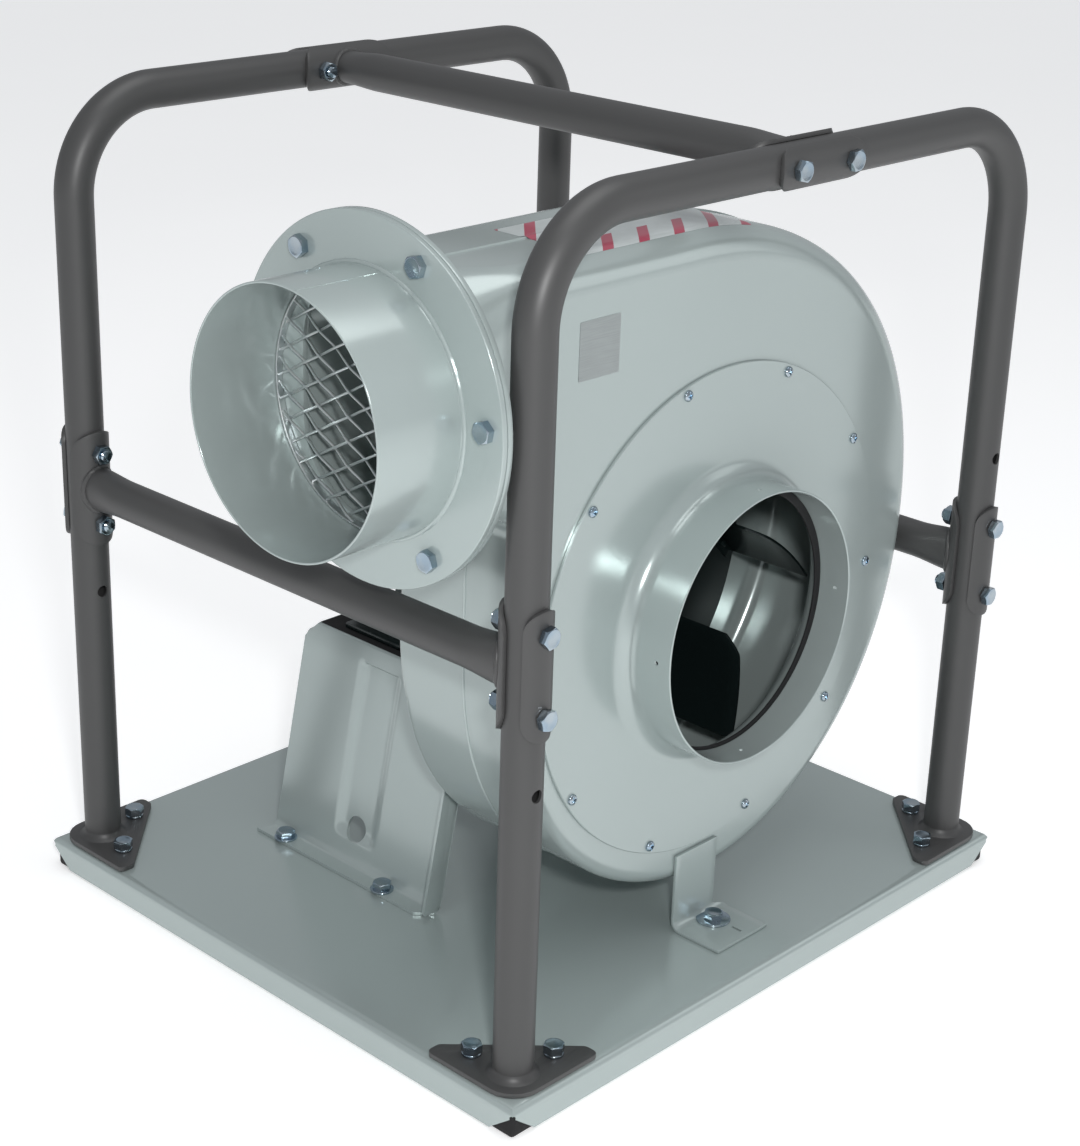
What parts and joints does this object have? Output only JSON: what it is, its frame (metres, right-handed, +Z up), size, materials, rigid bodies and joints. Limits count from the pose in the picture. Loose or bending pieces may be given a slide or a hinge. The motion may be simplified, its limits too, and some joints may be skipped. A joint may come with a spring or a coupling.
{
  "type": "centrifugal fan",
  "caption": "Portable centrifugal fan: pressed scroll casing with a round side inlet and a flanged outlet spigot, motor on a pedestal, all on a tray between two tube hoops.",
  "frame": {"origin": "on the floor under the middle of the whole fan's box", "axes": "+Z up; the shaft lies along Y with the inlet towards -Y; the outlet points towards -X"},
  "size_m": [0.62, 0.508, 0.6202],
  "materials": {
    "casing_paint": "gloss",
    "frame_paint": "semi-gloss",
    "wheel_paint": "gloss",
    "motor_paint": "satin",
    "zinc": "bright zinc plated",
    "steel": "ground",
    "laminations": "bare stacked sheet",
    "rubber": "matt",
    "black_plastic": "matt"
  },
  "bodies": {
    "root": {"base_tray": "casing_paint", "cable_gland": "black_plastic", "casing_flange": "casing_paint", "casing_front_shell": "casing_paint", "casing_rear_shell": "casing_paint", "fan_cowl": "black_plastic", "foot_bracket": "casing_paint", "front_bearing": "steel", "front_end_shield": "motor_paint", "front_hoop": "frame_paint", "inlet_cover": "casing_paint", "left_crossbar": "frame_paint", "left_front_bolt_1": "zinc", "left_front_bolt_2": "zinc", "left_front_clamp_plate": "frame_paint", "left_rear_bolt_1": "zinc", "left_rear_bolt_2": "zinc", "left_rear_clamp_plate": "frame_paint", "motor_frame": "motor_paint", "motor_plate": "frame_paint", "motor_stator": "laminations", "outlet_bolt_1": "zinc", "outlet_bolt_2": "zinc", "outlet_bolt_3": "zinc", "outlet_bolt_4": "zinc", "outlet_bolt_5": "zinc", "outlet_bolt_6": "zinc", "outlet_collar": "casing_paint", "outlet_guard": "zinc", "pedestal": "casing_paint", "rear_bearing": "steel", "rear_end_shield": "motor_paint", "rear_hoop": "frame_paint", "right_crossbar": "frame_paint", "right_front_bolt_1": "zinc", "right_front_bolt_2": "zinc", "right_front_clamp_plate": "frame_paint", "right_rear_bolt_1": "zinc", "right_rear_bolt_2": "zinc", "right_rear_clamp_plate": "frame_paint", "rubber_foot_1": "rubber", "rubber_foot_2": "rubber", "rubber_foot_3": "rubber", "rubber_foot_4": "rubber", "terminal_box": "motor_paint", "terminal_box_lid": "motor_paint", "throat_ring": "rubber", "top_crossbar": "frame_paint", "top_front_bolt_1": "zinc", "top_front_bolt_2": "zinc", "top_front_clamp_plate": "frame_paint", "top_rear_bolt_1": "zinc", "top_rear_bolt_2": "zinc", "top_rear_clamp_plate": "frame_paint"},
    "rotor": {"impeller": "wheel_paint", "impeller_hub": "wheel_paint", "hub_bolt": "zinc", "motor_shaft": "steel", "motor_rotor": "laminations", "cooling_fan": "black_plastic"}
  },
  "joints": [
    {"name": "rotor_spin", "type": "hinge", "parent": "root", "child": "rotor", "pos_m": [0.034, -0.064, 0.274], "axis": [0, -1, 0], "continuous": true}
  ]
}
